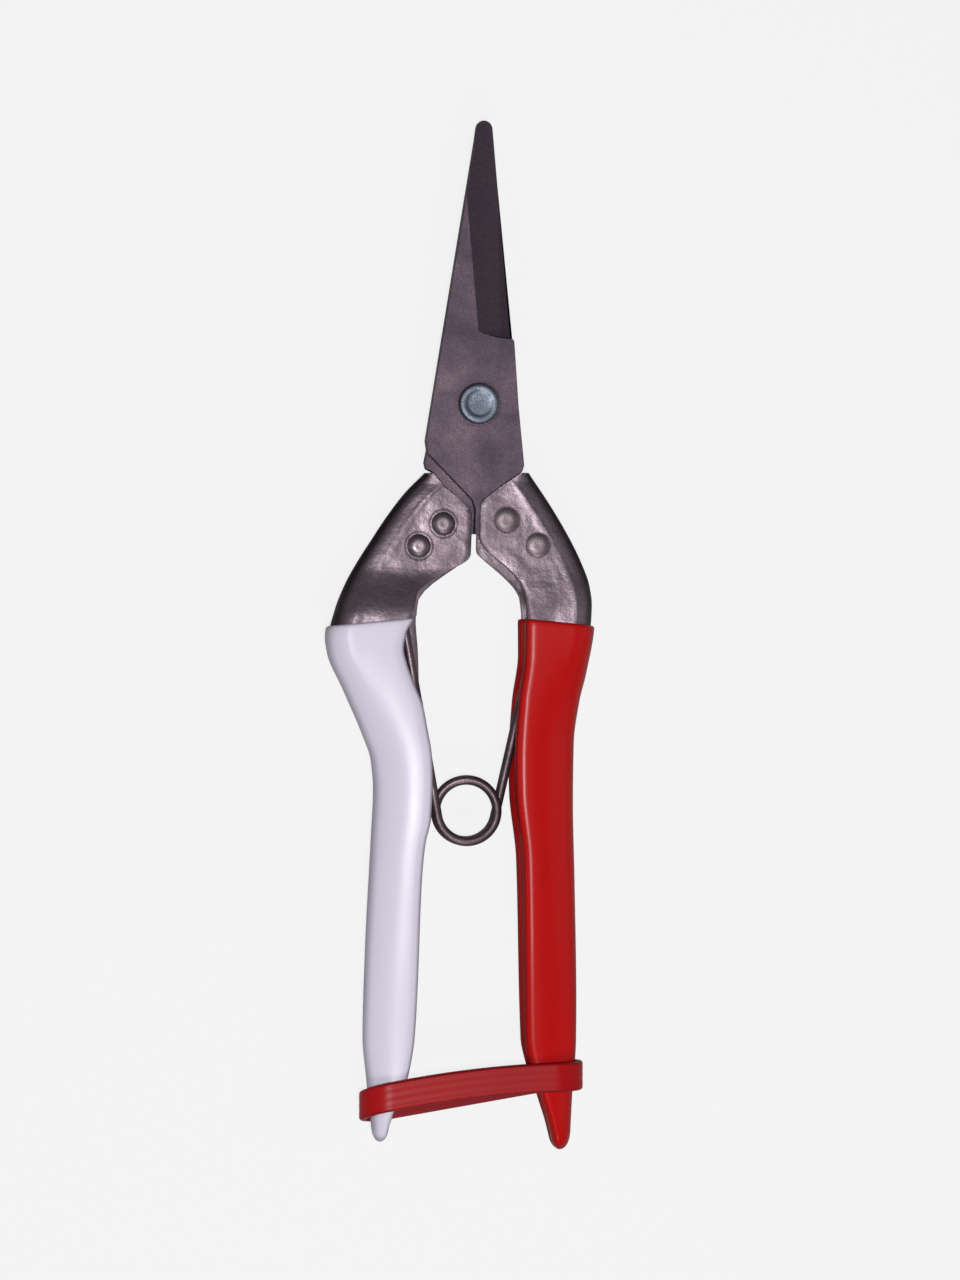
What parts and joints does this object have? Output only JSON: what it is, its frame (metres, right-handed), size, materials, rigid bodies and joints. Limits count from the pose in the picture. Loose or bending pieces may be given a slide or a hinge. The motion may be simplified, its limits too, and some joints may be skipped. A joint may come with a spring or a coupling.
{
  "type": "floral snips",
  "caption": "Hand snips with narrow bypass blades, pressed-steel channel handles with dipped grips, a torsion spring and a closing strap.",
  "frame": {"origin": "pivot axis at the back face of the pivot nut, the plane that the tool lies on", "axes": "+Y along the closed tool towards the blade tips, +Z along the pivot axis out of the front face, +X towards the right (red) handle"},
  "size_m": [0.0503, 0.1902, 0.0101],
  "materials": {
    "blade_steel": "satin",
    "handle_steel": "polished",
    "rivet_steel": "satin",
    "bolt_steel": "satin",
    "spring_steel": "polished",
    "red_vinyl": "gloss",
    "white_vinyl": "gloss",
    "strap_vinyl": "gloss"
  },
  "bodies": {
    "right_half": {"front_blade": "blade_steel", "right_handle": "handle_steel", "right_grip": "red_vinyl", "right_rivet_upper": "rivet_steel", "right_rivet_lower": "rivet_steel", "pivot_bolt": "bolt_steel", "pivot_washer": "rivet_steel", "pivot_nut": "bolt_steel"},
    "left_half": {"back_blade": "blade_steel", "left_handle": "handle_steel", "left_grip": "white_vinyl", "left_rivet_upper": "rivet_steel", "left_rivet_lower": "rivet_steel"},
    "spring_left": {"spring_left_arm": "spring_steel"},
    "spring_right": {"spring_right_arm": "spring_steel"},
    "strap": {"closing_strap": "strap_vinyl"}
  },
  "joints": [
    {"name": "blade_pivot", "type": "hinge", "parent": "right_half", "child": "left_half", "pos_m": [0, 0, 0.00505], "axis": [0, 0, -1], "range_deg": [-1.1, 26], "deforming": ["spring_left_arm", "spring_right_arm"]},
    {"name": "spring_left_seat", "type": "hinge", "parent": "left_half", "child": "spring_left", "pos_m": [-0.01438, -0.03714, 0.00505], "axis": [0, 0, 1], "range_deg": [-3, 28]},
    {"name": "spring_coil", "type": "hinge", "parent": "spring_left", "child": "spring_right", "pos_m": [-0.00196, -0.07497, 0.00505], "axis": [0, 0, -1], "range_deg": [-3, 28]},
    {"name": "strap_swing", "type": "hinge", "parent": "right_half", "child": "strap", "pos_m": [0.0085, -0.1245, 0.00505], "axis": [0, 0, 1], "range_deg": [-5, 68], "deforming": ["closing_strap"]}
  ],
  "couplings": [
    {"joint": "spring_left_seat", "follows": "blade_pivot", "ratio": 1},
    {"joint": "spring_coil", "follows": "blade_pivot", "ratio": 1},
    {"joint": "strap_swing", "follows": "blade_pivot", "ratio": 2.5}
  ]
}
